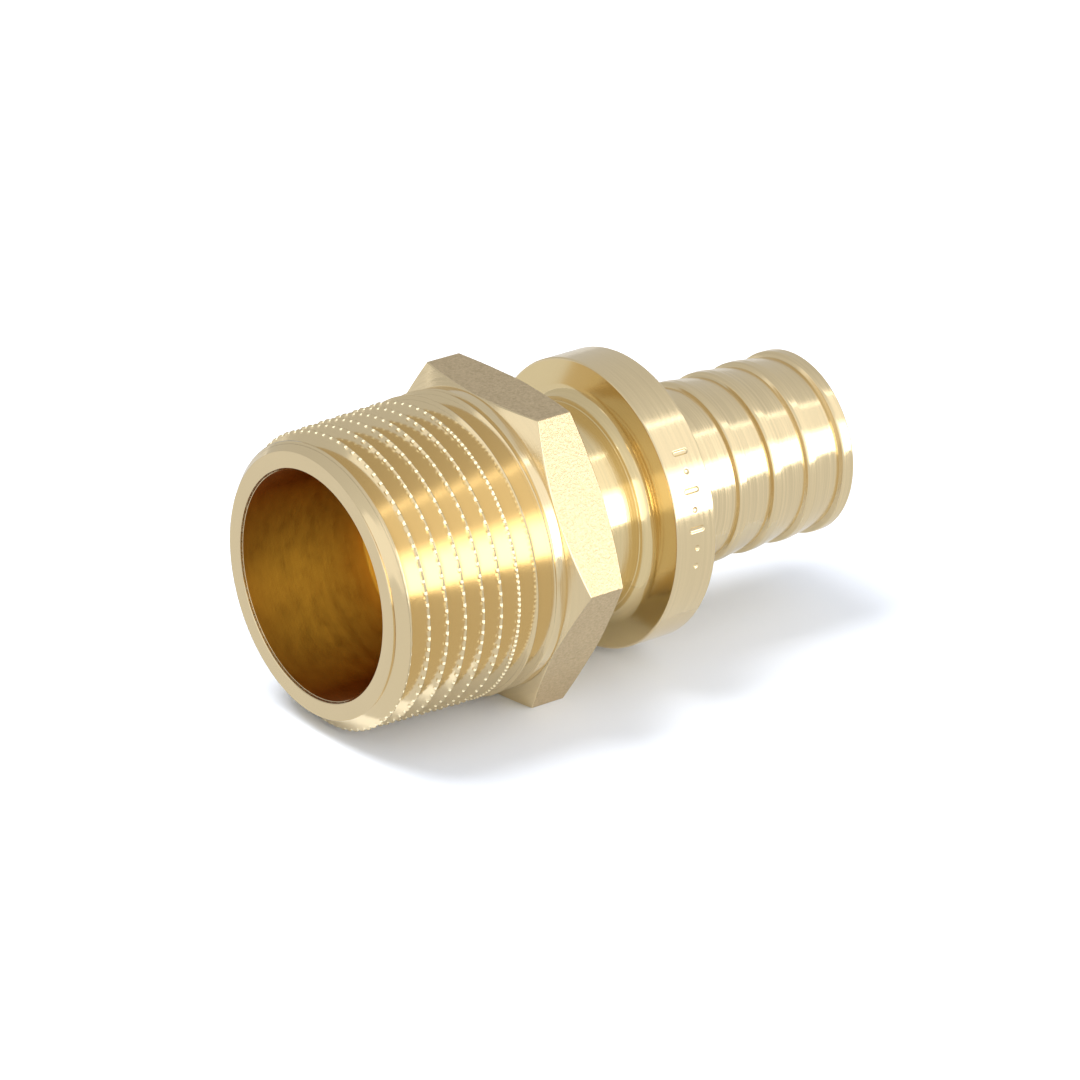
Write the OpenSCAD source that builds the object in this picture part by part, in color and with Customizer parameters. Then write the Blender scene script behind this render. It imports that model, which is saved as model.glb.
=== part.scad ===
// Brass coupling for plastic pipe, lying on its side on a flat of the hexagon.
// It is turned from one piece of bar: a tapered pipe thread, a hexagon, a groove for the
// tool that holds it, a collar and a barbed spigot, with one waterway through all of them.
// The axis runs along X from the threaded end to the spigot, Z is up, and the origin is on the
// surface that the part lies on, under the middle of its length. Millimetres.

/* [Pipe thread] */
// Threads in one inch of length
threads_per_inch = 14; // [11:1:19]
// Diameter over the crests at the gauge plane
gauge_d = 26.16; // [25.6:0.02:26.4]
// Distance of the gauge plane from the threaded end
gauge_length = 9.5; // [8:0.5:11]
// Length over which the thread's diameter grows by one
taper_run = 16; // [14:1:40]
// Depth from crest to root
thread_depth = 1.16; // [0.9:0.02:1.2]
// Angle between the two flanks of a thread
flank_angle = 55; // [50:1:60]
// Part of the flat width in one pitch that is on the crest, the rest being at the root
crest_share = 0.4; // [0.2:0.05:0.8]
// Length from the threaded end to the plain neck, where the last turn runs out
thread_length = 15.75; // [13:0.05:20]
// Angle of the chamfer that leads into the thread, from the end face
lead_angle = 45; // [30:1:55]
// Outer diameter of the end face
end_face_d = 23.1; // [22.4:0.1:23.2]
// Where the thread's first crest crosses the top of the part, from the threaded end
thread_start = 0.6; // [0:0.1:1.8]
// Straight facets in one turn of the thread
turn_facets = 60; // [36:4:72]

/* [Hexagon] */
// Width across the flats
across_flats = 26.55; // [26.4:0.05:30]
// Length of the hexagon with its chamfers
hex_length = 5.05; // [4:0.05:9]
// Length of the neck between the thread and the hexagon
neck_length = 0.95; // [0.4:0.05:3]
// Diameter of the neck
neck_d = 26.3; // [24.6:0.1:26.3]
// Diameter where the chamfers start on the hexagon's two faces
hex_face_d = 26.4; // [26.3:0.02:26.5]
// Angle of the chamfer on the side of the thread, from the hexagon's face
front_chamfer_angle = 23.5; // [15:0.5:40]
// Angle of the chamfer on the side of the groove, from the hexagon's face
back_chamfer_angle = 17.5; // [10:0.5:35]

/* [Groove and collar] */
// Width of the groove between the hexagon and the collar
groove_width = 7.05; // [5.5:0.05:10]
// Diameter at the bottom of the groove
groove_d = 18.8; // [17:0.1:20]
// Radius of the groove's two inner corners
groove_fillet = 1.4; // [0.6:0.1:2]
// Diameter of the collar
collar_d = 25.75; // [24.4:0.05:26.4]
// Length of the collar
collar_length = 4.25; // [3:0.05:8]
// Chamfer on the collar's two edges
collar_chamfer = 0.25; // [0.1:0.05:0.5]

/* [Spigot] */
// Length of the plain stretch between the collar and the first barb
plain_length = 6.4; // [3:0.05:10]
// Diameter of the plain stretch and of the low end of each barb
spigot_d = 15.5; // [15:0.1:15.8]
// Diameter over a barb
barb_d = 16.3; // [16:0.05:17]
// Number of barbs before the end lip
barbs = 3; // [1:1:5]
// Distance from one barb to the next
barb_pitch = 3.86; // [2.5:0.02:6]
// Radius of the round edge that a barb turns to the collar
barb_round = 0.4; // [0.2:0.05:0.5]
// Level stretch of a barb between its round edge and its slope
barb_land = 0.6; // [0.2:0.1:1]
// Length of the end lip
lip_length = 1.35; // [0.8:0.05:3]
// Diameter of the end lip
lip_d = 16.46; // [16:0.02:17]
// Chamfer on the end lip
lip_chamfer = 0.25; // [0.1:0.05:0.5]

/* [Waterway] */
// Diameter of the bore in the threaded end
wide_bore_d = 19.86; // [18:0.02:20.2]
// Depth of the wide bore
wide_bore_depth = 12.5; // [10:0.5:22]
// Diameter of the bore through the spigot
narrow_bore_d = 13.8; // [10:0.1:14]
// Angle of the cone between the two bores, from the axis
bore_cone_angle = 70; // [35:1:75]
// Chamfer on the mouth of each bore
mouth_chamfer = 0.25; // [0.1:0.05:0.3]

/* [Hidden] */

$fn = 96;
inch = 25.4;
// Solids that are joined run into each other, and cuts run past the face, by this much
overlap = 1;
// Straight steps in a quarter round
fillet_steps = 8;

pitch = inch / threads_per_inch;
flank_run = thread_depth * tan(flank_angle / 2);
crest_width = crest_share * (pitch - 2 * flank_run);

// Stations along the axis, from the threaded end
hex_x = thread_length + neck_length;
groove_x = hex_x + hex_length;
collar_x = groove_x + groove_width;
spigot_x = collar_x + collar_length;
barb_x = spigot_x + plain_length;
lip_x = barb_x + barbs * barb_pitch;
overall_length = lip_x + lip_length;

// Radius over the crests at a distance from the threaded end
function crest_r(x) = gauge_d / 2 + (x - gauge_length) / (2 * taper_run);

// Corners of one ridge of the thread: place along the axis from its middle, and depth below the crest
ridge = [
    [-crest_width / 2 - flank_run, thread_depth],
    [-crest_width / 2, 0],
    [crest_width / 2, 0],
    [crest_width / 2 + flank_run, thread_depth],
];

// A corner of the ridge at a step along the helix, which is right-handed about +X
function ridge_point(step, corner) =
    let (turns = step / turn_facets)
    let (x = thread_start - 2 * pitch + turns * pitch + ridge[corner][0])
    let (r = crest_r(x) - ridge[corner][1])
    let (angle = 90 + 360 * turns)
    [x, r * cos(angle), r * sin(angle)];

// Turns a profile of [radius, place along X] round the X axis
module turned(profile) {
    rotate([0, 90, 0])
        rotate_extrude()
            polygon(profile);
}

// A quarter round from angle a to b about a centre, as points
function arc(centre, r, a, b) = [
    for (i = [0 : fillet_steps])
        let (angle = a + (b - a) * i / fillet_steps)
        centre + r * [cos(angle), sin(angle)]
];

// A rod with the thread's own surface, longer than the thread at both ends
module threaded_rod() {
    corners = len(ridge);
    steps = ceil((thread_length + 4 * pitch) / pitch * turn_facets);
    points = [
        for (step = [0 : steps])
            for (corner = [0 : corners - 1])
                ridge_point(step, corner),
        [ridge_point(turn_facets / 2, 0)[0], 0, 0],
        [ridge_point(steps - turn_facets / 2, corners - 1)[0], 0, 0],
    ];
    first_centre = (steps + 1) * corners;
    last_centre = first_centre + 1;
    // Flanks and crest of the ridge
    ridge_faces = [
        for (step = [0 : steps - 1])
            for (corner = [0 : corners - 2])
                let (p = step * corners + corner)
                each [[p, p + 1, p + corners], [p + 1, p + corners + 1, p + corners]]
    ];
    // Root between one turn and the next
    root_faces = [
        for (step = [0 : steps - turn_facets - 1])
            let (p = step * corners + corners - 1)
            let (q = (step + turn_facets) * corners)
            each [[p, q, p + corners], [q, q + corners, p + corners]]
    ];
    // The two ends, each a fan from a point on the axis to the outline of one turn
    first_outline = [
        for (step = [0 : turn_facets]) step * corners,
        for (corner = [corners - 1 : -1 : 1]) corner,
    ];
    last_outline = [
        for (step = [steps : -1 : steps - turn_facets]) step * corners + corners - 1,
        for (corner = [0 : corners - 2]) steps * corners + corner,
    ];
    polyhedron(
        points = points,
        faces = concat(
            ridge_faces,
            root_faces,
            fan(first_outline, first_centre),
            fan(last_outline, last_centre)
        )
    );
}

function fan(outline, centre) = [
    for (i = [0 : len(outline) - 1])
        [outline[i], outline[(i + 1) % len(outline)], centre]
];

// Room for the thread: the end face with its lead, and the slope where it runs into the neck
module thread_envelope() {
    clear_r = crest_r(thread_length) + thread_depth;
    lead = (clear_r - end_face_d / 2) * tan(lead_angle);
    turned([
        [0, 0],
        [end_face_d / 2, 0],
        [clear_r, lead],
        [clear_r, thread_length - clear_r + neck_d / 2],
        [neck_d / 2 - overlap, thread_length + overlap],
        [0, thread_length + overlap],
    ]);
}

module thread() {
    intersection() {
        threaded_rod();
        thread_envelope();
    }
}

// Hexagon with its corners turned off at both faces
module hexagon() {
    corner_r = across_flats / sqrt(3);
    clear_r = corner_r + overlap;
    front_run = (clear_r - hex_face_d / 2) * tan(front_chamfer_angle);
    back_run = (clear_r - hex_face_d / 2) * tan(back_chamfer_angle);
    intersection() {
        translate([hex_x, 0, 0])
            rotate([0, 90, 0])
                rotate([0, 0, 30])
                    cylinder(h = hex_length, r = corner_r, $fn = 6);
        turned([
            [0, hex_x - overlap],
            [hex_face_d / 2, hex_x - overlap],
            [hex_face_d / 2, hex_x],
            [clear_r, hex_x + front_run],
            [clear_r, groove_x - back_run],
            [hex_face_d / 2, groove_x],
            [hex_face_d / 2, groove_x + overlap],
            [0, groove_x + overlap],
        ]);
    }
}

// Points of one barb: a round edge towards the collar, a level stretch, then a slope
function barb(x) = concat(
    [[spigot_d / 2, x]],
    arc([barb_d / 2 - barb_round, x + barb_round], barb_round, 270, 360),
    [
        [barb_d / 2, x + barb_round + barb_land],
        [spigot_d / 2, x + barb_pitch],
    ]
);

// Neck, groove, collar and spigot as one turned body, which runs into the thread and the hexagon
module turned_body() {
    groove_r = groove_d / 2;
    collar_r = collar_d / 2;
    turned(concat(
        [
            [0, thread_length],
            [neck_d / 2, thread_length],
            [neck_d / 2, groove_x - overlap],
            [groove_r + groove_fillet, groove_x - overlap],
        ],
        arc([groove_r + groove_fillet, groove_x + groove_fillet], groove_fillet, 270, 180),
        arc([groove_r + groove_fillet, collar_x - groove_fillet], groove_fillet, 180, 90),
        [
            [collar_r - collar_chamfer, collar_x],
            [collar_r, collar_x + collar_chamfer],
            [collar_r, spigot_x - collar_chamfer],
            [collar_r - collar_chamfer, spigot_x],
            [spigot_d / 2, spigot_x],
        ],
        [for (i = [0 : barbs - 1]) each barb(barb_x + i * barb_pitch)],
        [
            [lip_d / 2, lip_x],
            [lip_d / 2, overall_length - lip_chamfer],
            [lip_d / 2 - lip_chamfer, overall_length],
            [0, overall_length],
        ]
    ));
}

// Hollow through the whole part, with a cone where the wide bore meets the narrow one
module waterway() {
    wide_r = wide_bore_d / 2;
    narrow_r = narrow_bore_d / 2;
    cone_run = (wide_r - narrow_r) / tan(bore_cone_angle);
    turned([
        [0, -overlap],
        [wide_r + mouth_chamfer, -overlap],
        [wide_r + mouth_chamfer, 0],
        [wide_r, mouth_chamfer],
        [wide_r, wide_bore_depth],
        [narrow_r, wide_bore_depth + cone_run],
        [narrow_r, overall_length - mouth_chamfer],
        [narrow_r + mouth_chamfer, overall_length],
        [narrow_r + mouth_chamfer, overall_length + overlap],
        [0, overall_length + overlap],
    ]);
}

module coupling_body() {
    color("khaki")
        translate([-overall_length / 2, 0, across_flats / 2])
            difference() {
                union() {
                    thread();
                    hexagon();
                    turned_body();
                }
                waterway();
            }
}

coupling_body();
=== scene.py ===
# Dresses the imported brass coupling: a tapered pipe thread, a neck, a hexagon, a groove, a collar and
# a barbed spigot on one axis. Metres, in the frame of the CAD: the axis runs along X, Z is up.
import math

import bpy
import numpy as np
from mathutils import Matrix, Vector


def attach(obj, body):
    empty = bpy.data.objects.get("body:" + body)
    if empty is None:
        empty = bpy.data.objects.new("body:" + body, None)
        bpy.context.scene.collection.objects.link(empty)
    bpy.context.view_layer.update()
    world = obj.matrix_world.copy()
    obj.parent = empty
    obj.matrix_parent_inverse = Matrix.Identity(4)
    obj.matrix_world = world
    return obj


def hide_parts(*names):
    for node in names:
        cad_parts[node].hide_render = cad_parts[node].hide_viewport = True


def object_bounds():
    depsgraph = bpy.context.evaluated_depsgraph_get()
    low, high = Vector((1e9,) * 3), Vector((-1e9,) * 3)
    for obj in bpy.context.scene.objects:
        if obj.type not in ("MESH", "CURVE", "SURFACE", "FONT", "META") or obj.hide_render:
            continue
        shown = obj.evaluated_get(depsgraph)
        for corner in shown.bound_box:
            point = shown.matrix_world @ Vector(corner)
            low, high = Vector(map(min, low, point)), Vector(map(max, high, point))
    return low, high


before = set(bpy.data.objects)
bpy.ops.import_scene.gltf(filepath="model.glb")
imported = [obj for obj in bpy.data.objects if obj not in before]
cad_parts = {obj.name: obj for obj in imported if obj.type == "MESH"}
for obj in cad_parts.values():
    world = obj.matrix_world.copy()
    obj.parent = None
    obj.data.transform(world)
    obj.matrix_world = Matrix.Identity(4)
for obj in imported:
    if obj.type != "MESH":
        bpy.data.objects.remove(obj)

MM = 0.001
CAD_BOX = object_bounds()
CAD_LOW, CAD_HIGH = CAD_BOX

# Sizes of the part in millimetres, along the axis from the threaded end
OVERALL_LENGTH = (CAD_HIGH.x - CAD_LOW.x) / MM
ACROSS_FLATS = (CAD_HIGH.z - CAD_LOW.z) / MM
AXIS_HEIGHT = ACROSS_FLATS / 2

# Pipe thread: 14 turns to the inch, its crests measured at the gauge plane
PITCH = 25.4 / 14
GAUGE_R = 26.16 / 2
GAUGE_X = 9.5
TAPER_RUN = 16
THREAD_DEPTH = 1.5
FLANK_ANGLE = math.radians(55)
FLANK_RUN = THREAD_DEPTH * math.tan(FLANK_ANGLE / 2)
CREST_WIDTH = 0.02
ROOT_WIDTH = PITCH - CREST_WIDTH - 2 * FLANK_RUN
CREST_ROUND = 0.03
ROOT_ROUND = 0.18
THREAD_START = 0.6
THREAD_END = 15.75

# Threaded end: the lip starts the lead cone, and the roots start just over it and fall away by this slope
END_FACE_R = 23.1 / 2
END_INNER_ROUND = 0.12
END_OUTER_ROUND = 0.04
END_LIP = 0.05
END_ROOT_RISE = 0.02
END_ROOT_SLOPE = 0.25

# Neck, with the flank that runs down in front of it
NECK_R = 26.3 / 2
NECK_ROUND = 0.08
NECK_FLANK_RUN = 0.9

# Hexagon, whose front face runs on a little inside the neck
HEX_X = 16.7
GROOVE_X = 21.75
HEX_INNER_R = NECK_R - 0.2
HEX_FACE_R = 26.4 / 2
FRONT_CHAMFER = math.radians(23.5)
BACK_CHAMFER = math.radians(17.5)
HEX_CORNER_ROUND = 0.15
# Edge between a face and its chamfer: its reach inside and outside their corner, and how far it drops
HEX_EDGE_IN = 0.03
HEX_EDGE_OUT = 0.02
HEX_EDGE_DROP = 0.01
# Bevel between a chamfer and a flat: its width, and the most of the chamfer's height that it takes
HEX_BEVEL = 0.1
BEVEL_SHARE = 0.4

# Groove, with a fine line at the foot of the collar's fillet: its depth, which is half its width
GROOVE_R = 18.8 / 2
GROOVE_FILLET = 1.25
GROOVE_WALL_R = GROOVE_R + GROOVE_FILLET + 0.05
GROOVE_LINE = 0.05

# Collar
COLLAR_X = 28.8
COLLAR_R = 25.75 / 2
COLLAR_FACE_R = COLLAR_R - 0.2
COLLAR_ROUND = 0.16

# Spigot: a plain stretch, barbs with a round edge, a level stretch and a slope, and the end lip
SPIGOT_X = 33.05
SPIGOT_R = 15.5 / 2
SPIGOT_FOOT_R = SPIGOT_R + 0.1
SPIGOT_FOOT_ROUND = 0.05
BARB_X = 39.45
BARB_R = 16.3 / 2
BARBS = 3
BARB_PITCH = 3.86
BARB_RISE = 0.2
BARB_ROUND = 0.3
BARB_LEVEL = 1.0
BARB_SLOPE_ROUND = 0.4
LIP_X = BARB_X + BARBS * BARB_PITCH
LIP_R = 16.46 / 2
LIP_ROUND = 0.25

# Waterway, whose amber stops a little inside the mouth's edge
WIDE_BORE_R = 19.86 / 2
WIDE_BORE_DEPTH = 12.5
BORE_CONE = math.radians(70)
BORE_CONE_ROUND = 0.2
NARROW_BORE_R = 13.8 / 2
MOUTH_CHAMFER = 0.22
MOUTH_ROUND = 0.1
MOUTH_EDGE = 0.06

# Rounding of a corner that looks sharp, and a length too small to see
SHARP = 0.01
TINY = 1e-9

# Small dents that a toothed wheel presses into the crests: their number in a turn and their phase, half their
# length as a share of their spacing, their depth, and how far their metal spreads over the flanks
DENTS = 80.04
DENT_PHASE = 0.854
DENT_REACH = 0.27
DENT_DEPTH = 0.13
DENT_SPREAD = 0.16
# Pale part of a dent, a painted glint: its width, and the share of the full depth from which on it is pale
GLINT_WIDTH = 0.36
GLINT_SHARE = 0.62

# Turns of the thread at which fainter dents double them, and at which all of them end
DOUBLED_FROM = 5.95
DOUBLED_OVER = 0.1
DOUBLED_SHARE = 0.75
DENTED_TURNS = 6.85
DENTS_END_OVER = 0.2

# A row of plain marks stamped into the collar: half the length of each bar, 0 for a round pip, and which mark
# is on the facing side
MARKS = (0.55, 0, 0.55, 0, 0.55, 0, 0)
FACING_MARK = 1
MARK_X = 31.0
MARK_R = 0.2
MARK_DEPTH = 0.12
MARK_EDGE = 0.12
MARK_STEP = math.radians(7.5)

# Part of the rim that is cut finely for the marks: angles from the facing side, half width, size of its faces
MARKED_ANGLES = (math.radians(-11), math.radians(44))
MARKED_HALF_WIDTH = 1
MARKED_GRID = 0.05
# Least outward part of a normal on the rim's level stretch
LEVEL_NORMAL = 0.999

# How finely the meshes are cut: steps round the axis, in a rounded corner, in a turn of the thread, in one
# dent, and along a flat and round a corner of the hexagon
TURN_STEPS = 384
ARC_STEPS = 6
THREAD_STEPS = 240
DENT_STEPS = 12
HEX_FLAT_STEPS = 24
HEX_CORNER_STEPS = 4
# Shares of the flank's height at which the strips along the thread's crests and its grooves have rows
CREST_ROWS = (0.06, 0.11, 0.16, 0.22)
GROOVE_ROWS = (0.21, 0.35, 0.55)

# Turns of the helix that are made before its ends are cut off; the grooves start earlier than the crests
FIRST_TURN = -0.9
LAST_TURN = 9.3
GROOVE_LEAD = 0.3

# Angle about the axis, from +Y towards +Z, at which the surface faces the camera
FACING = math.radians(149.58)

# Camera: focal length and sensor in millimetres, place in metres, directions of the view and of its top
FOCAL_LENGTH = 197.5156
SENSOR_WIDTH = 36
CAMERA_PLACE = (-0.28699, -0.36065, 0.222785)
VIEW_DIRECTION = (0.56317, 0.71262, -0.41835)
TOP_DIRECTION = (0.24224, 0.34165, 0.90807)

# Base colours, and pairs of the darkest and the palest colour of a pattern
BRASS = (0.80, 0.655, 0.405)
GOLDEN_BRASS = (0.80, 0.645, 0.36)
# Pale colour of the dents' middles: a painted glint
GLINT_BRASS = (1.0, 0.90, 0.60)
BLASTED_BRASS = ((0.515, 0.40, 0.225), (0.68, 0.545, 0.35))
# The bore's pair runs from painted shade to painted light on its amber
BORE_BRASS = ((0.30, 0.085, 0.007), (1.0, 0.54, 0.055))

# Range of a noise pattern over which it changes the roughness or the colour
ROUGH_RANGE = (0.3, 0.7)
TINT_RANGE = (0.35, 0.65)

# Cutting lines: cycles per millimetre along the axis and across it, how much a millimetre of depth darkens
# the colour, the share of that by which it lightens it, and the lowest and highest share of the roughness
CUT_SCALE = (6.0, 0.04, 0.04)
CUT_SHADE = 5.0
CUT_LIGHT = 0.7
CUT_ROUGH = (0.5, 1.6)

# Painted light and shade on the bore's amber: shares of its radius towards the far side, where light from the
# mouth falls, between which it turns pale, and the depth in millimetres over which it does so from the mouth,
# with how pale it starts there
LIT_SIDE = (0.45, 0.95)
LIT_DEPTH = 6
LIT_AT_MOUTH = 0.35

# Signs of x and y at a level face's four corners
QUARTERS = ((-1, -1), (1, -1), (1, 1), (-1, 1))

# Floor: half its width in metres, and its colour out to one distance and from another on; near the part the
# colour is painted shade, tinted blue against the part's golden bounce light
FLOOR_REACH = 3.0
FLOOR_PAINTED_SHADE = (0.03, (0.80, 0.845, 0.925, 1))
FLOOR_FAR = (0.09, (0.92, 0.92, 0.92, 1))

# Light from all round, as (place, strength) from the camera's side to the far side, and an even glow
SKY = ((0.27, 0.92), (0.5, 0.74), (0.65, 0.67), (0.9, 0.62))
EVEN = ((0, 1), (1, 1))


# Geometry helpers

def place(points):
    """Points in the frame's metres, from their distance along the axis and their offsets in millimetres."""
    return (np.asarray(points) + (-OVERALL_LENGTH / 2, 0, AXIS_HEIGHT)) * MM


def link(name, data):
    """An object in the scene for a mesh, a lamp or a camera."""
    thing = bpy.data.objects.new(name, data)
    bpy.context.scene.collection.objects.link(thing)
    return thing


def make_piece(name, points, normals, faces, *materials):
    """One mesh with its own normals, which rides on the part and stands for its solid."""
    mesh = bpy.data.meshes.new(name)
    mesh.from_pydata(place(points).tolist(), [], faces)
    mesh.polygons.foreach_set("use_smooth", [True] * len(mesh.polygons))
    for material in materials:
        mesh.materials.append(material)
    mesh.update()
    mesh.normals_split_custom_set_from_vertices(np.asarray(normals).tolist())
    piece = link(name, mesh)
    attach(piece, "root")
    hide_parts("coupling_body")
    return piece


def rounded(corners):
    """Points and normals of an outline whose corners are (x, r, rounding), as (x, r, normal x, normal r)."""
    outline = []
    for i, (x, r, rounding) in enumerate(corners):
        here = Vector((x, r))
        if i == 0 or i == len(corners) - 1:
            other = Vector(corners[1][:2]) if i == 0 else Vector(corners[-2][:2])
            along = (other - here if i == 0 else here - other).normalized()
            outline.append((x, r, -along.y, along.x))
            continue
        before = (Vector(corners[i - 1][:2]) - here).normalized()
        after = (Vector(corners[i + 1][:2]) - here).normalized()
        half = before.angle(after) / 2
        reach = rounding / math.tan(half)
        centre = here + (before + after).normalized() * (rounding / math.sin(half))
        start, end = here + before * reach, here + after * reach
        side = 1 if before.x * after.y - before.y * after.x > 0 else -1
        first = start - centre
        sweep = first.angle_signed(end - centre)
        for k in range(ARC_STEPS + 1):
            arm = first.copy()
            arm.rotate(Matrix.Rotation(-sweep * k / ARC_STEPS, 2))
            point = centre + arm
            normal = arm.normalized() * side
            outline.append((point.x, point.y, normal.x, normal.y))
    return outline


def strip_faces(columns, rows, closed):
    """Four-cornered faces between neighbouring columns of points."""
    faces = []
    for j in range(columns if closed else columns - 1):
        k = (j + 1) % columns
        for i in range(rows - 1):
            faces.append((j * rows + i, k * rows + i, k * rows + i + 1, j * rows + i + 1))
    return faces


def turned(name, corners, material):
    """Turns a rounded outline about the axis."""
    x, r, nx, nr = np.array(rounded(corners)).T
    angle = (2 * np.pi * np.arange(TURN_STEPS) / TURN_STEPS)[:, None]
    c, s = np.cos(angle), np.sin(angle)
    points = np.stack([x + 0 * c, r * c, r * s], axis=-1)
    normals = np.stack([nx + 0 * c, nr * c, nr * s], axis=-1)
    faces = strip_faces(TURN_STEPS, len(x), True)
    return make_piece(name, points.reshape(-1, 3), normals.reshape(-1, 3), faces, material)


# Materials

class Finish:
    """A metal whose bumps are built up one after another, over places given in millimetres."""

    def __init__(self, name, roughness, base=BRASS):
        self.base = base
        self.material = bpy.data.materials.new(name)
        self.material.use_nodes = True
        self.nodes = self.material.node_tree.nodes
        self.links = self.material.node_tree.links
        self.shader = self.nodes["Principled BSDF"]
        self.shader.inputs["Base Color"].default_value = (*base, 1)
        self.shader.inputs["Metallic"].default_value = 1
        self.shader.inputs["Roughness"].default_value = roughness
        self.where = self.nodes.new("ShaderNodeTexCoord").outputs["Object"]
        self.normal = None

    def noise(self, scale, detail=3, sharp=0.5):
        """A noise pattern, its scale given for each axis in cycles per millimetre."""
        mapping = self.nodes.new("ShaderNodeMapping")
        mapping.inputs["Scale"].default_value = [v / MM for v in scale]
        self.links.new(self.where, mapping.inputs["Vector"])
        noise = self.nodes.new("ShaderNodeTexNoise")
        noise.inputs["Scale"].default_value = 1
        noise.inputs["Detail"].default_value = detail
        noise.inputs["Roughness"].default_value = sharp
        self.links.new(mapping.outputs["Vector"], noise.inputs["Vector"])
        return noise.outputs["Fac"]

    def ramp(self, source, low, high, low_value, high_value):
        """Maps a value's range from low to high on to another range."""
        ramp = self.nodes.new("ShaderNodeMapRange")
        limits = (("From Min", low), ("From Max", high), ("To Min", low_value), ("To Max", high_value))
        for key, value in limits:
            ramp.inputs[key].default_value = value
        self.links.new(source, ramp.inputs["Value"])
        return ramp.outputs["Result"]

    def product(self, one, other):
        """Two values multiplied."""
        math_node = self.nodes.new("ShaderNodeMath")
        math_node.operation = "MULTIPLY"
        self.links.new(one, math_node.inputs[0])
        self.links.new(other, math_node.inputs[1])
        return math_node.outputs["Value"]

    def bump(self, height, depth):
        """Adds a relief, its depth in millimetres."""
        bump = self.nodes.new("ShaderNodeBump")
        bump.inputs["Distance"].default_value = depth * MM
        self.links.new(height, bump.inputs["Height"])
        if self.normal:
            self.links.new(self.normal, bump.inputs["Normal"])
        self.normal = bump.outputs["Normal"]
        self.links.new(self.normal, self.shader.inputs["Normal"])

    def rough(self, source, low, high):
        """Roughness that follows a pattern."""
        self.links.new(self.ramp(source, *ROUGH_RANGE, low, high), self.shader.inputs["Roughness"])

    def tint(self, source, low, high):
        """Colour that follows a value from 0 to 1."""
        mix = self.nodes.new("ShaderNodeMix")
        mix.data_type = "RGBA"
        mix.inputs["A"].default_value = (*low, 1)
        mix.inputs["B"].default_value = (*high, 1)
        self.links.new(source, mix.inputs["Factor"])
        self.links.new(mix.outputs["Result"], self.shader.inputs["Base Color"])

    def cutting_lines(self, depth, low, high):
        """Fine rings that a turning tool leaves, some smoother than others."""
        rings = self.noise(CUT_SCALE, sharp=0.7)
        self.bump(rings, depth)
        self.rough(rings, low, high)
        shade = depth * CUT_SHADE
        dark, light = [[v * k for v in self.base] for k in (1 - shade, 1 + shade * CUT_LIGHT)]
        self.tint(self.ramp(rings, *TINT_RANGE, 0, 1), dark, light)


def turned_finish(name, roughness, line_depth, base=BRASS):
    """Turned metal, its roughness spread about a middle value by the cutting lines."""
    finish = Finish(name, roughness, base)
    finish.cutting_lines(line_depth, *(roughness * share for share in CUT_ROUGH))
    return finish.material


def blasted_finish():
    """The hexagon's flats, as cast and blasted: a fine grain."""
    finish = Finish("blasted_brass", 0.4)
    grain = finish.noise((4.5, 4.5, 4.5), sharp=0.65)
    finish.bump(grain, 0.05)
    finish.rough(grain, 0.34, 0.5)
    finish.tint(finish.ramp(grain, *TINT_RANGE, 0, 1), *BLASTED_BRASS)
    return finish.material


def glint_finish():
    """Pale, matt and hardly metallic faces in the dents: a painted glint."""
    finish = Finish("glint_brass", 0.5, GLINT_BRASS)
    finish.shader.inputs["Metallic"].default_value = 0.15
    return finish.material


def bore_finish():
    """The bore as drilled: rings and faint scratches; amber with painted light on the far wall, painted shade
    at the mouth, above and below.
    """
    finish = Finish("bore_brass", 0.5)
    nodes, links = finish.nodes, finish.links
    around = nodes.new("ShaderNodeTangent")
    around.axis = "X"
    links.new(around.outputs["Tangent"], finish.shader.inputs["Tangent"])
    finish.shader.inputs["Anisotropic"].default_value = 0.9
    finish.shader.inputs["Anisotropic Rotation"].default_value = 0.25
    finish.bump(finish.noise((3.0, 0.15, 0.15), sharp=0.6), 0.012)
    finish.bump(finish.noise((0.2, 1.2, 1.2), detail=4, sharp=0.7), 0.012)
    finish.rough(finish.noise((1.2, 0.6, 0.6)), 0.42, 0.56)

    # Painted light on the far wall, where light through the mouth falls, fading towards the mouth; painted
    # shade elsewhere
    side = nodes.new("ShaderNodeVectorMath")
    side.operation = "DOT_PRODUCT"
    away = [-v / WIDE_BORE_R / MM for v in (0, math.cos(FACING), math.sin(FACING))]
    side.inputs[1].default_value = away
    links.new(finish.where, side.inputs[0])
    axis_side = -math.sin(FACING) * AXIS_HEIGHT / WIDE_BORE_R
    lit_far_side = finish.ramp(side.outputs["Value"], *(axis_side + share for share in LIT_SIDE), 0, 1)
    split = nodes.new("ShaderNodeSeparateXYZ")
    links.new(finish.where, split.inputs["Vector"])
    lit_from_mouth = finish.ramp(split.outputs["X"], CAD_LOW.x, CAD_LOW.x + LIT_DEPTH * MM, LIT_AT_MOUTH, 1)
    finish.tint(finish.product(lit_far_side, lit_from_mouth), *BORE_BRASS)
    return finish.material


turned_brass = turned_finish("turned_brass", 0.13, 0.008)
spigot_brass = turned_finish("spigot_brass", 0.14, 0.014)
groove_brass = turned_finish("groove_brass", 0.13, 0.008, GOLDEN_BRASS)
thread_brass = Finish("thread_brass", 0.14).material
glint_brass = glint_finish()
blasted_brass = blasted_finish()
bore_brass = bore_finish()


# Turned surfaces

def groove():
    fillet_x = COLLAR_X - GROOVE_FILLET
    corners = [
        (GROOVE_X, GROOVE_WALL_R, 0),
        (GROOVE_X, GROOVE_R, GROOVE_FILLET),
        (fillet_x - 2 * GROOVE_LINE, GROOVE_R, SHARP),
        (fillet_x - GROOVE_LINE, GROOVE_R - GROOVE_LINE, SHARP),
        (fillet_x, GROOVE_R, SHARP),
        (COLLAR_X, GROOVE_R, GROOVE_FILLET - GROOVE_LINE),
        (COLLAR_X, COLLAR_FACE_R, 0),
    ]
    turned("groove", corners, groove_brass)


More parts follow.
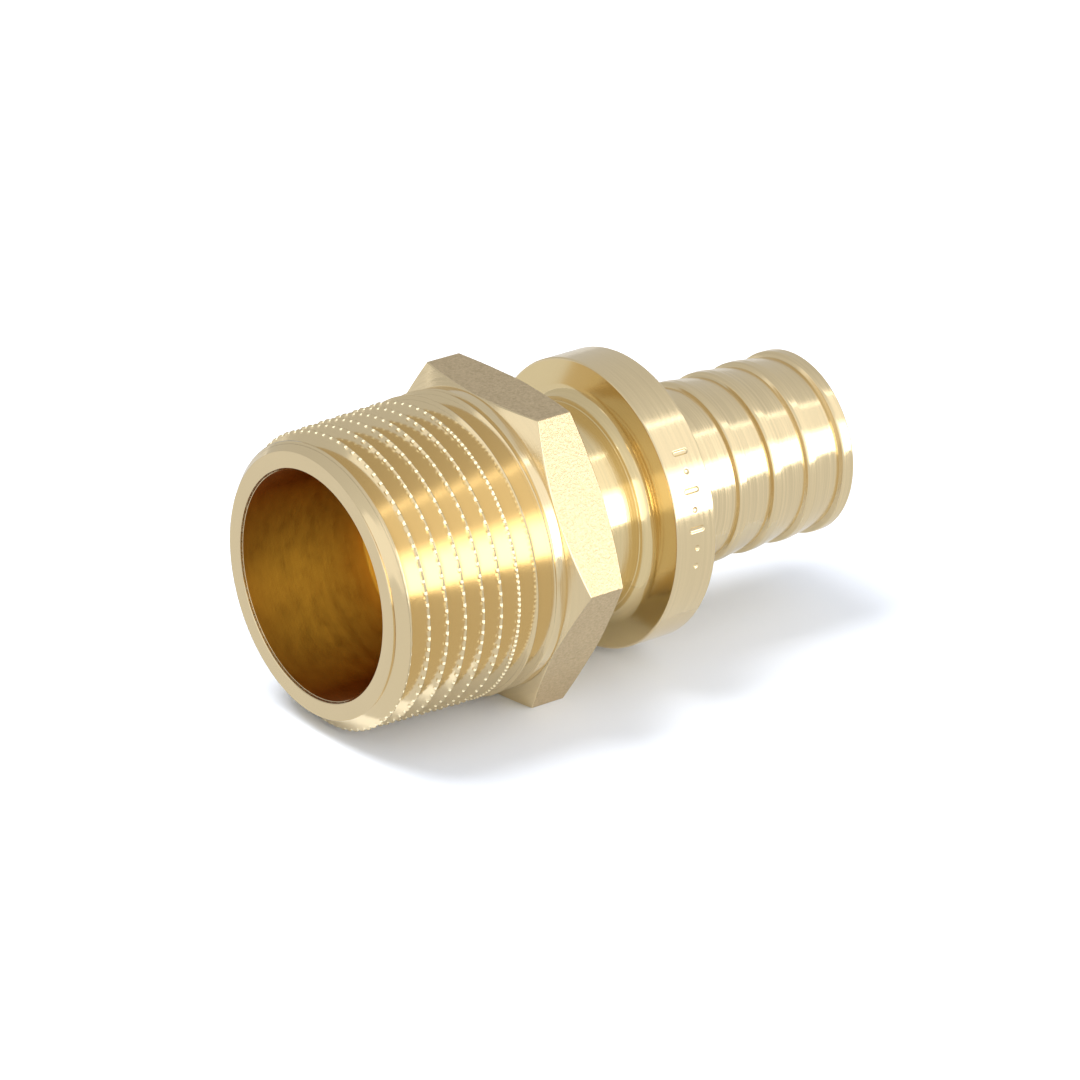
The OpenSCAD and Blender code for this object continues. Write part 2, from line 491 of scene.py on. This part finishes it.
def stamped(x, turn):
    """Depth of the collar's marks at a place along the axis and an angle from the facing side."""
    depth = 0 * x
    for i, half_length in enumerate(MARKS):
        around = (turn - (i - FACING_MARK) * MARK_STEP) * COLLAR_R
        past_end = np.maximum(np.abs(x - MARK_X) - half_length, 0)
        inside = np.clip(0.5 - (np.hypot(around, past_end) - MARK_R) / MARK_EDGE, 0, 1)
        depth = np.maximum(depth, MARK_DEPTH * inside * inside * (3 - 2 * inside))
    return depth


def collar():
    """The collar's rim, cut finely where the marks are stamped into it."""
    edge = rounded([
        (COLLAR_X, COLLAR_FACE_R, 0),
        (COLLAR_X, COLLAR_R, COLLAR_ROUND),
        (SPIGOT_X, COLLAR_R, COLLAR_ROUND),
        (SPIGOT_X, SPIGOT_FOOT_R, 0),
    ])
    middle = np.arange(MARK_X - MARKED_HALF_WIDTH, MARK_X + MARKED_HALF_WIDTH, MARKED_GRID)
    level = [(x, COLLAR_R, 0, 1) for x in middle]
    x, r, nx, nr = np.array(edge[:ARC_STEPS + 2] + level + edge[ARC_STEPS + 2:]).T
    first, last = MARKED_ANGLES
    fine = np.arange(first, last, MARKED_GRID / COLLAR_R)
    coarse = np.arange(last, first + 2 * np.pi, 2 * np.pi / TURN_STEPS)
    turn = np.concatenate([fine, coarse])[:, None]
    depth = stamped(x + 0 * turn, turn + 0 * x) * (nr > LEVEL_NORMAL)
    c, s = np.cos(FACING + turn), np.sin(FACING + turn)
    points = np.stack([x + 0 * c, (r - depth) * c, (r - depth) * s], axis=-1)
    # Points on the two faces share their x, so each is moved by a trifle to keep the slope finite
    lean_x = np.gradient(depth, x + np.arange(len(x)) * TINY, axis=1)
    lean_t = np.gradient(depth, turn[:, 0], axis=0) / COLLAR_R
    normals = np.stack([nx + lean_x, nr * c - lean_t * s, nr * s + lean_t * c], axis=-1)
    normals /= np.linalg.norm(normals, axis=-1, keepdims=True)
    faces = strip_faces(len(turn), len(x), True)
    make_piece("collar", points.reshape(-1, 3), normals.reshape(-1, 3), faces, turned_brass)


def spigot():
    corners = [(SPIGOT_X, SPIGOT_FOOT_R, 0), (SPIGOT_X, SPIGOT_R, SPIGOT_FOOT_ROUND)]
    for i in range(BARBS):
        x = BARB_X + i * BARB_PITCH
        corners += [
            (x, SPIGOT_R, SHARP),
            (x + BARB_RISE, BARB_R, BARB_ROUND),
            (x + BARB_LEVEL, BARB_R, BARB_SLOPE_ROUND),
        ]
    corners += [
        (LIP_X, SPIGOT_R, SHARP),
        (LIP_X + BARB_RISE, LIP_R, BARB_ROUND),
        (OVERALL_LENGTH, LIP_R, LIP_ROUND),
        (OVERALL_LENGTH, NARROW_BORE_R + MOUTH_CHAMFER, 0),
    ]
    turned("spigot", corners, spigot_brass)


def waterway():
    cone_run = (WIDE_BORE_R - NARROW_BORE_R) / math.tan(BORE_CONE)
    corners = [
        (OVERALL_LENGTH, NARROW_BORE_R + MOUTH_CHAMFER, 0),
        (OVERALL_LENGTH - MOUTH_CHAMFER, NARROW_BORE_R, MOUTH_ROUND),
        (WIDE_BORE_DEPTH + cone_run, NARROW_BORE_R, BORE_CONE_ROUND),
        (WIDE_BORE_DEPTH, WIDE_BORE_R, BORE_CONE_ROUND),
        (MOUTH_CHAMFER, WIDE_BORE_R, MOUTH_ROUND),
        (MOUTH_EDGE, WIDE_BORE_R + MOUTH_CHAMFER - MOUTH_EDGE, 0),
    ]
    turned("waterway", corners, bore_brass)


def end_face():
    corners = [
        (MOUTH_CHAMFER, WIDE_BORE_R, 0),
        (0, WIDE_BORE_R + MOUTH_CHAMFER, END_INNER_ROUND),
        (0, END_FACE_R, END_OUTER_ROUND),
        (END_LIP, END_FACE_R + END_LIP, 0),
    ]
    turned("end_face", corners, turned_brass)


def neck():
    corners = [
        (THREAD_END - NECK_FLANK_RUN, NECK_R - NECK_FLANK_RUN / math.tan(FLANK_ANGLE / 2), 0),
        (THREAD_END, NECK_R, NECK_ROUND),
        (HEX_X, NECK_R, 0),
    ]
    turned("neck", corners, turned_brass)


# Pipe thread

def crest_r(x):
    return GAUGE_R + (x - GAUGE_X) / (2 * TAPER_RUN)


def envelope_r(x):
    """Largest radius that the lead chamfer and the run-out leave."""
    return np.minimum(END_FACE_R + x, NECK_R + THREAD_END - x)


def arc_down(x, depth, radius, side, rising, steps):
    """Stations of the round between the flank and the level part beside it, from the level part on."""
    lean = math.pi / 2 - FLANK_ANGLE / 2
    reach = radius * math.tan(lean / 2)
    run = []
    for k in range(steps + 1):
        a = lean * k / steps
        run.append((x - side * (reach - radius * math.sin(a)), depth + rising * radius * (1 - math.cos(a))))
    return run


def flank(rows):
    """Stations down the flank, at shares of its height."""
    return [(CREST_WIDTH / 2 + t * FLANK_RUN, t * THREAD_DEPTH) for t in rows]


def crest_stations():
    """Places along the axis from the middle of the crest, each with its depth, to where the dents end."""
    edge = arc_down(CREST_WIDTH / 2, 0, CREST_ROUND, side=1, rising=1, steps=1)
    right = edge + flank(CREST_ROWS)
    return [(-x, d) for x, d in reversed(right)] + [(0, 0)] + right


def groove_stations():
    """The same from the end of the dents over the root to the next crest."""
    root_x = PITCH / 2 - ROOT_WIDTH / 2
    corner = arc_down(root_x, THREAD_DEPTH, ROOT_ROUND, side=-1, rising=-1, steps=ARC_STEPS)
    left = flank(GROOVE_ROWS) + corner[::-1]
    return left + [(PITCH - x, d) for x, d in reversed(left)]


def dent(turn, phase):
    """Shape of the dents along the crest, from 0 to 1."""
    away = np.abs((turn * DENTS + phase) % 1 - 0.5)
    return np.clip(1 - (away / DENT_REACH) ** 2, 0, 1)


def dented(turn):
    """How far the crest is dented; the dents are doubled on the last turn that has them."""
    doubled = DOUBLED_SHARE * np.clip((turn - DOUBLED_FROM) / DOUBLED_OVER, 0, 1)
    worn = np.clip((DENTED_TURNS - turn) / DENTS_END_OVER, 0, 1)
    return worn * np.maximum(dent(turn, DENT_PHASE), doubled * dent(turn, DENT_PHASE + 0.5))


def undented(turn):
    return 0 * turn


def thread_strip(name, stations, turn, press, *materials):
    """A strip of the thread along the helix; stations are (place along the axis, depth below the crest).

    A dent presses the crest down and spreads its metal over the flanks."""
    offsets, depths = np.array(stations).T
    x = THREAD_START + turn[:, None] * PITCH + offsets
    angle = 2 * np.pi * turn[:, None] + np.pi / 2 + 0 * x
    share = press(turn)[:, None]
    spread = DENT_SPREAD * share * np.clip(1 - depths / (GROOVE_ROWS[0] * THREAD_DEPTH), 0, 1)
    r = crest_r(x) - np.maximum(depths - spread, DENT_DEPTH * share)
    inside = (x > 0) & (x < THREAD_END)
    x = np.clip(x, 0, THREAD_END)
    r = np.maximum(r, END_FACE_R + END_ROOT_RISE - END_ROOT_SLOPE * x)
    whole = r < envelope_r(x)
    r = np.minimum(r, envelope_r(x))
    points = np.stack([x, r * np.cos(angle), r * np.sin(angle)], axis=-1)
    normals = np.cross(np.gradient(points, axis=1), np.gradient(points, axis=0))
    length = np.linalg.norm(normals, axis=-1, keepdims=True)
    outward = points * (0, 1, 1)
    radial = outward / np.maximum(r[..., None], 1)
    normals = np.where(length > TINY, normals / np.maximum(length, TINY), radial)
    normals *= np.where(np.sum(normals * outward, axis=-1, keepdims=True) < 0, -1, 1)
    faces = [
        face
        for face in strip_faces(len(turn), len(stations), False)
        if inside.flat[face[0]] or inside.flat[face[2]]
    ]
    piece = make_piece(name, points.reshape(-1, 3), normals.reshape(-1, 3), faces, *materials)
    if len(materials) > 1:
        # Faces in the middle of a deep dent take the pale material: a painted glint
        glinting = whole & (share > GLINT_SHARE) & (np.abs(offsets) < GLINT_WIDTH / 2)
        corners = glinting.flat[np.array(faces)]
        piece.data.polygons.foreach_set("material_index", corners.all(axis=1).astype(int).tolist())


def pipe_thread():
    fine = np.arange(FIRST_TURN, DENTED_TURNS, 1 / (DENTS * DENT_STEPS))
    plain = np.arange(DENTED_TURNS, LAST_TURN, 1 / THREAD_STEPS)
    crest_turn = np.concatenate([fine, plain])
    groove_turn = np.arange(FIRST_TURN - GROOVE_LEAD, LAST_TURN, 1 / THREAD_STEPS)
    thread_strip("thread_crests", crest_stations(), crest_turn, dented, thread_brass, glint_brass)
    thread_strip("thread_grooves", groove_stations(), groove_turn, undented, thread_brass)


# Hexagon

def hexagon_rim():
    """Outline of the hexagon as (y, z, angle of the normal)."""
    apothem = ACROSS_FLATS / 2
    half_side = (apothem - HEX_CORNER_ROUND) * math.tan(math.pi / 6)
    corner_reach = (apothem - HEX_CORNER_ROUND) / math.cos(math.pi / 6)
    rim = []
    for side in range(6):
        face = math.radians(30 + 60 * side)
        c, s = math.cos(face), math.sin(face)
        for k in range(HEX_FLAT_STEPS + 1):
            t = half_side * (2 * k / HEX_FLAT_STEPS - 1)
            rim.append((apothem * c - t * s, apothem * s + t * c, face))
        corner = face + math.radians(30)
        for k in range(1, HEX_CORNER_STEPS):
            a = face + math.radians(60) * k / HEX_CORNER_STEPS
            y = corner_reach * math.cos(corner) + HEX_CORNER_ROUND * math.cos(a)
            z = corner_reach * math.sin(corner) + HEX_CORNER_ROUND * math.sin(a)
            rim.append((y, z, a))
    return rim


def hexagon_section(y, z, lean):
    """Points and normals along the hexagon at one place of its rim: face, chamfer, flat, chamfer, face."""
    r = math.hypot(y, z)
    c, s = y / r, z / r
    rise = r - HEX_FACE_R
    front_x = HEX_X + rise * math.tan(FRONT_CHAMFER)
    back_x = GROOVE_X - rise * math.tan(BACK_CHAMFER)
    front = (-math.cos(FRONT_CHAMFER), math.sin(FRONT_CHAMFER))
    back = (math.cos(BACK_CHAMFER), math.sin(BACK_CHAMFER))
    flat = (0, math.cos(lean), math.sin(lean))
    cut = min(HEX_BEVEL, rise * BEVEL_SHARE)

    def ring(x, ring_r, nx, nr):
        return (x, ring_r * c, ring_r * s), (nx, nr * c, nr * s)

    return [
        ring(HEX_X, HEX_INNER_R, -1, 0),
        ring(HEX_X, HEX_FACE_R - HEX_EDGE_IN, -1, 0),
        ring(HEX_X + HEX_EDGE_DROP, HEX_FACE_R + HEX_EDGE_OUT, *front),
        ring(front_x - cut * math.sin(FRONT_CHAMFER), r - cut * math.cos(FRONT_CHAMFER), *front),
        ((front_x + cut, y, z), flat),
        ((back_x - cut, y, z), flat),
        ring(back_x + cut * math.sin(BACK_CHAMFER), r - cut * math.cos(BACK_CHAMFER), *back),
        ring(GROOVE_X - HEX_EDGE_DROP, HEX_FACE_R + HEX_EDGE_OUT, *back),
        ring(GROOVE_X, HEX_FACE_R - HEX_EDGE_IN, 1, 0),
        ring(GROOVE_X, GROOVE_WALL_R, 1, 0),
    ]


def hexagon():
    """Six blasted flats between two turned chamfers."""
    # The blasted faces lie between the fifth and the sixth point of each section
    flat_row = 4
    sections = [hexagon_section(*place_on_rim) for place_on_rim in hexagon_rim()]
    rows = len(sections[0])
    points = [point for section in sections for point, _ in section]
    normals = [normal for section in sections for _, normal in section]
    faces = strip_faces(len(sections), rows, True)
    piece = make_piece("hexagon", points, normals, faces, turned_brass, blasted_brass)
    finish = [1 if i % (rows - 1) == flat_row else 0 for i in range(len(faces))]
    piece.data.polygons.foreach_set("material_index", finish)


# Floor, lights and camera

def flat_mesh(name, corners, faces, material):
    mesh = bpy.data.meshes.new(name)
    mesh.from_pydata(corners, [], faces)
    mesh.materials.append(material)
    return link(name, mesh)


def axes(right, up, forward):
    """Rotation that points an object's X, Y and -Z in these directions."""
    return Matrix((right, up, -forward)).transposed().to_4x4()


def set_steps(ramp, steps):
    """Gives a colour ramp its steps of grey, as (place, value)."""
    elements = ramp.color_ramp.elements
    for element, (position, value) in zip(elements, (steps[0], steps[-1])):
        element.position, element.color = position, (value, value, value, 1)
    for position, value in steps[1:-1]:
        elements.new(position).color = (value, value, value, 1)


def floor():
    """A pale floor, darker and bluer round the part: painted shade that deepens the part's own soft shadow,
    tinted blue against the golden light that the part throws on it.
    """
    material = bpy.data.materials.new("floor")
    material.use_nodes = True
    nodes, links = material.node_tree.nodes, material.node_tree.links
    shader = nodes["Principled BSDF"]
    shader.inputs["Roughness"].default_value = 0.9
    shader.inputs["Specular IOR Level"].default_value = 0.0
    where = nodes.new("ShaderNodeTexCoord")
    distance = nodes.new("ShaderNodeVectorMath")
    distance.operation = "LENGTH"
    ramp = nodes.new("ShaderNodeValToRGB")
    ramp.color_ramp.interpolation = "EASE"
    near, far = ramp.color_ramp.elements
    # The near colour is painted shade, tinted blue against the part's golden bounce light
    near.position, near.color = FLOOR_PAINTED_SHADE
    far.position, far.color = FLOOR_FAR
    links.new(where.outputs["Object"], distance.inputs[0])
    links.new(distance.outputs["Value"], ramp.inputs["Fac"])
    links.new(ramp.outputs["Color"], shader.inputs["Base Color"])
    corners = [(sx * FLOOR_REACH, sy * FLOOR_REACH, 0) for sx, sy in QUARTERS]
    flat_mesh("floor", corners, [(0, 1, 2, 3)], material)


def glow(name, strength, steps=EVEN, along="Y"):
    """A light-giving material whose strength, given as (place, share) steps, changes across the panel."""
    material = bpy.data.materials.new(name)
    material.use_nodes = True
    nodes, links = material.node_tree.nodes, material.node_tree.links
    nodes.clear()
    out = nodes.new("ShaderNodeOutputMaterial")
    emit = nodes.new("ShaderNodeEmission")
    where = nodes.new("ShaderNodeTexCoord")
    split = nodes.new("ShaderNodeSeparateXYZ")
    ramp = nodes.new("ShaderNodeValToRGB")
    set_steps(ramp, steps)
    scale = nodes.new("ShaderNodeMath")
    scale.operation = "MULTIPLY"
    scale.inputs[1].default_value = strength
    links.new(where.outputs["Generated"], split.inputs[0])
    links.new(split.outputs[along], ramp.inputs[0])
    links.new(ramp.outputs[0], scale.inputs[0])
    links.new(scale.outputs[0], emit.inputs["Strength"])
    links.new(emit.outputs[0], out.inputs["Surface"])
    return material


def long_panel(name, material, turns, reach, distance):
    """A light along the axis, unseen by the camera.

    Its edges are at two angles from the facing side, in degrees, and at two places along the axis."""
    def edge(x, turn):
        angle = FACING + math.radians(turn)
        return Vector((x, distance * math.cos(angle), AXIS_HEIGHT * MM + distance * math.sin(angle)))

    (low, high), (start, end) = turns, reach
    low_left, high_left, low_right = edge(start, low), edge(start, high), edge(end, low)
    width, height = (low_right - low_left).length, (high_left - low_left).length
    corners = [(0, 0, 0), (0, height, 0), (width, height, 0), (width, 0, 0)]
    piece = flat_mesh(name, corners, [(0, 3, 2, 1)], material)
    across = (low_right - low_left).normalized()
    upward = (high_left - low_left).normalized()
    piece.matrix_world = Matrix.Translation(low_left) @ axes(across, upward, -across.cross(upward))
    piece.visible_camera = False
    piece.visible_shadow = False


def card(name, corners, faces, material):
    """A glowing card that only reflections see."""
    piece = flat_mesh(name, corners, faces, material)
    piece.visible_camera = False
    piece.visible_diffuse = False
    piece.visible_shadow = False


def low_card(material, inner_x, inner_y, outer, height):
    """Lies just above the floor, all round the part."""
    rims = ((inner_x, inner_y), (outer, outer))
    corners = [(sx * x, sy * y, height) for x, y in rims for sx, sy in QUARTERS]
    card("low_card", corners, [(i, 4 + i, 4 + (i + 1) % 4, (i + 1) % 4) for i in range(4)], material)


def end_card(material, x, y, z):
    """Stands upright in front of the threaded end."""
    corners = [(x, y[0], z[0]), (x, y[1], z[0]), (x, y[1], z[1]), (x, y[0], z[1])]
    card("end_card", corners, [(0, 1, 2, 3)], material)


def sky():
    """Light from all round, brighter on the camera's side than behind."""
    world = bpy.data.worlds.new("studio")
    bpy.context.scene.world = world
    world.use_nodes = True
    nodes, links = world.node_tree.nodes, world.node_tree.links
    where = nodes.new("ShaderNodeTexCoord")
    split = nodes.new("ShaderNodeSeparateXYZ")
    along = nodes.new("ShaderNodeMapRange")
    along.inputs["From Min"].default_value = -1
    ramp = nodes.new("ShaderNodeValToRGB")
    set_steps(ramp, SKY)
    links.new(where.outputs["Generated"], split.inputs[0])
    links.new(split.outputs["Y"], along.inputs["Value"])
    links.new(along.outputs[0], ramp.inputs["Fac"])
    links.new(ramp.outputs[0], nodes["Background"].inputs["Strength"])
    nodes["Background"].inputs["Color"].default_value = (1, 1, 1, 1)


def overhead(power, size, location):
    """A round lamp over the part, which throws its shadow and isn't reflected."""
    lamp = bpy.data.lights.new("overhead", "AREA")
    lamp.shape = "DISK"
    lamp.size = size
    lamp.energy = power
    light = link("overhead", lamp)
    light.location = location
    light.rotation_mode = "QUATERNION"
    light.rotation_quaternion = (-light.location).to_track_quat("-Z", "Y")
    light.visible_camera = False
    light.visible_glossy = False


def camera():
    data = bpy.data.cameras.new("camera")
    data.lens = FOCAL_LENGTH
    data.sensor_width = SENSOR_WIDTH
    data.clip_start = 0.01
    data.clip_end = 20
    view = link("camera", data)
    forward = Vector(VIEW_DIRECTION)
    right = forward.cross(Vector(TOP_DIRECTION)).normalized()
    up = right.cross(forward).normalized()
    view.matrix_world = Matrix.Translation(CAMERA_PLACE) @ axes(right, up, forward)
    bpy.context.scene.camera = view


def lights():
    sky()
    overhead(power=7.5, size=0.5, location=(-0.22, 0.3, 0.8))
    white_glow = glow("white_glow", 4.6, ((0, 1), (0.6, 1), (1, 0.25)))
    left_glow = glow("left_glow", 2.2, ((0, 0.45), (0.2, 0.48), (0.4, 0.6), (1, 1)), "X")
    pale_glow = glow("pale_glow", 1.2)
    thin_glow = glow("thin_glow", 2.4)
    long_panel("white_panel", white_glow, turns=(33.5, -7), reach=(0.12, 0.75), distance=0.5)
    long_panel("left_panel", left_glow, turns=(33.5, -7), reach=(-0.75, 0.12), distance=0.5)
    long_panel("pale_panel", pale_glow, turns=(-4, -46.7), reach=(0.1, 0.8), distance=0.52)
    long_panel("thin_panel", thin_glow, turns=(-38.5, -43), reach=(0.1, 0.8), distance=0.5)
    low_card(glow("card_glow", 0.8), inner_x=0.0265, inner_y=0.0105, outer=0.6, height=0.0012)
    end_card(glow("end_glow", 1.1), x=-0.5, y=(-0.3, 0.35), z=(0.002, 0.35))


camera()
groove()
collar()
spigot()
waterway()
end_face()
neck()
pipe_thread()
hexagon()
floor()
lights()
bpy.context.scene.view_settings.view_transform = "Standard"
